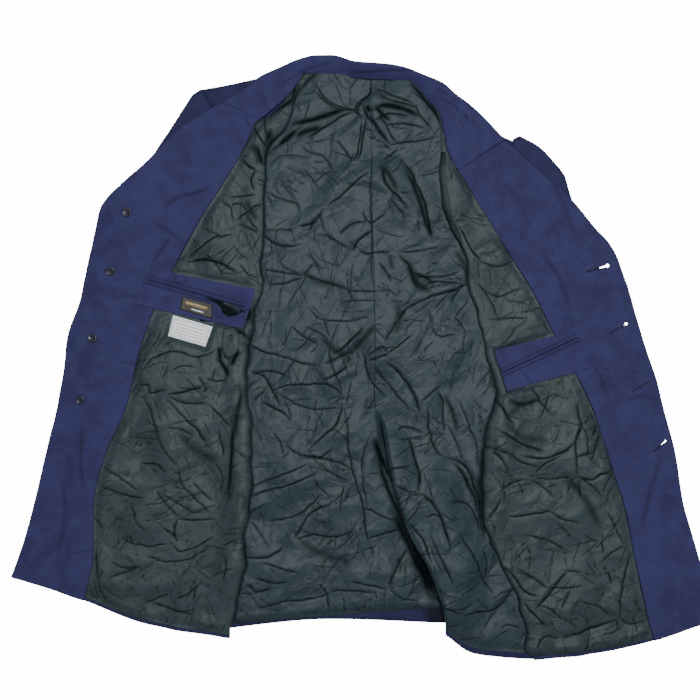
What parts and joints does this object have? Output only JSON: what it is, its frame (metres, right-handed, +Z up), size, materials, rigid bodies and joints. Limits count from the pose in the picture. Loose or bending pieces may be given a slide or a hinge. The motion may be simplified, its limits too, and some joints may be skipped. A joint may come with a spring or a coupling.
{
  "type": "dress uniform jacket",
  "caption": "Single-breasted dress uniform jacket laid open on its back, with its satin lining, inside pockets, buttons and buttonholes showing.",
  "frame": {"origin": "centre of the laid-out jacket's box, on the surface that it lies on", "axes": "+X towards the wearer's left front, +Y towards the collar, +Z up from the surface, out of the lining"},
  "size_m": [0.99, 0.843, 0.0255],
  "materials": {
    "back_left": "matt wool",
    "back_right": "matt wool",
    "side_left": "matt wool",
    "side_right": "matt wool",
    "front_left": "matt wool",
    "front_right": "matt wool",
    "top_sleeve_left": "matt wool",
    "top_sleeve_right": "matt wool",
    "under_sleeve_left": "matt wool",
    "under_sleeve_right": "matt wool",
    "collar": "matt wool",
    "facing_left": "matt wool",
    "facing_right": "matt wool",
    "lining_back_left": "satin lining with a soft sheen",
    "lining_back_right": "satin lining with a soft sheen",
    "lining_front_left": "satin lining with a soft sheen",
    "lining_front_right": "satin lining with a soft sheen",
    "inside_pocket_left": "matt wool",
    "inside_pocket_right": "matt wool",
    "label_pocket": "woven, matt",
    "label_care": "woven, matt",
    "button_front_1": "polished",
    "button_front_2": "polished",
    "button_front_3": "polished",
    "button_front_4": "polished",
    "button_backing_1": "glossy",
    "button_backing_2": "glossy",
    "button_backing_3": "glossy",
    "button_backing_4": "glossy"
  },
  "bodies": {
    "root": {"back_left": "back_left", "back_right": "back_right", "side_left": "side_left", "side_right": "side_right", "front_left": "front_left", "front_right": "front_right", "top_sleeve_left": "top_sleeve_left", "top_sleeve_right": "top_sleeve_right", "under_sleeve_left": "under_sleeve_left", "under_sleeve_right": "under_sleeve_right", "collar": "collar", "facing_left": "facing_left", "facing_right": "facing_right", "lining_back_left": "lining_back_left", "lining_back_right": "lining_back_right", "lining_front_left": "lining_front_left", "lining_front_right": "lining_front_right", "inside_pocket_left": "inside_pocket_left", "inside_pocket_right": "inside_pocket_right", "label_pocket": "label_pocket", "label_care": "label_care", "button_front_1": "button_front_1", "button_front_2": "button_front_2", "button_front_3": "button_front_3", "button_front_4": "button_front_4", "button_backing_1": "button_backing_1", "button_backing_2": "button_backing_2", "button_backing_3": "button_backing_3", "button_backing_4": "button_backing_4"}
  },
  "joints": []
}
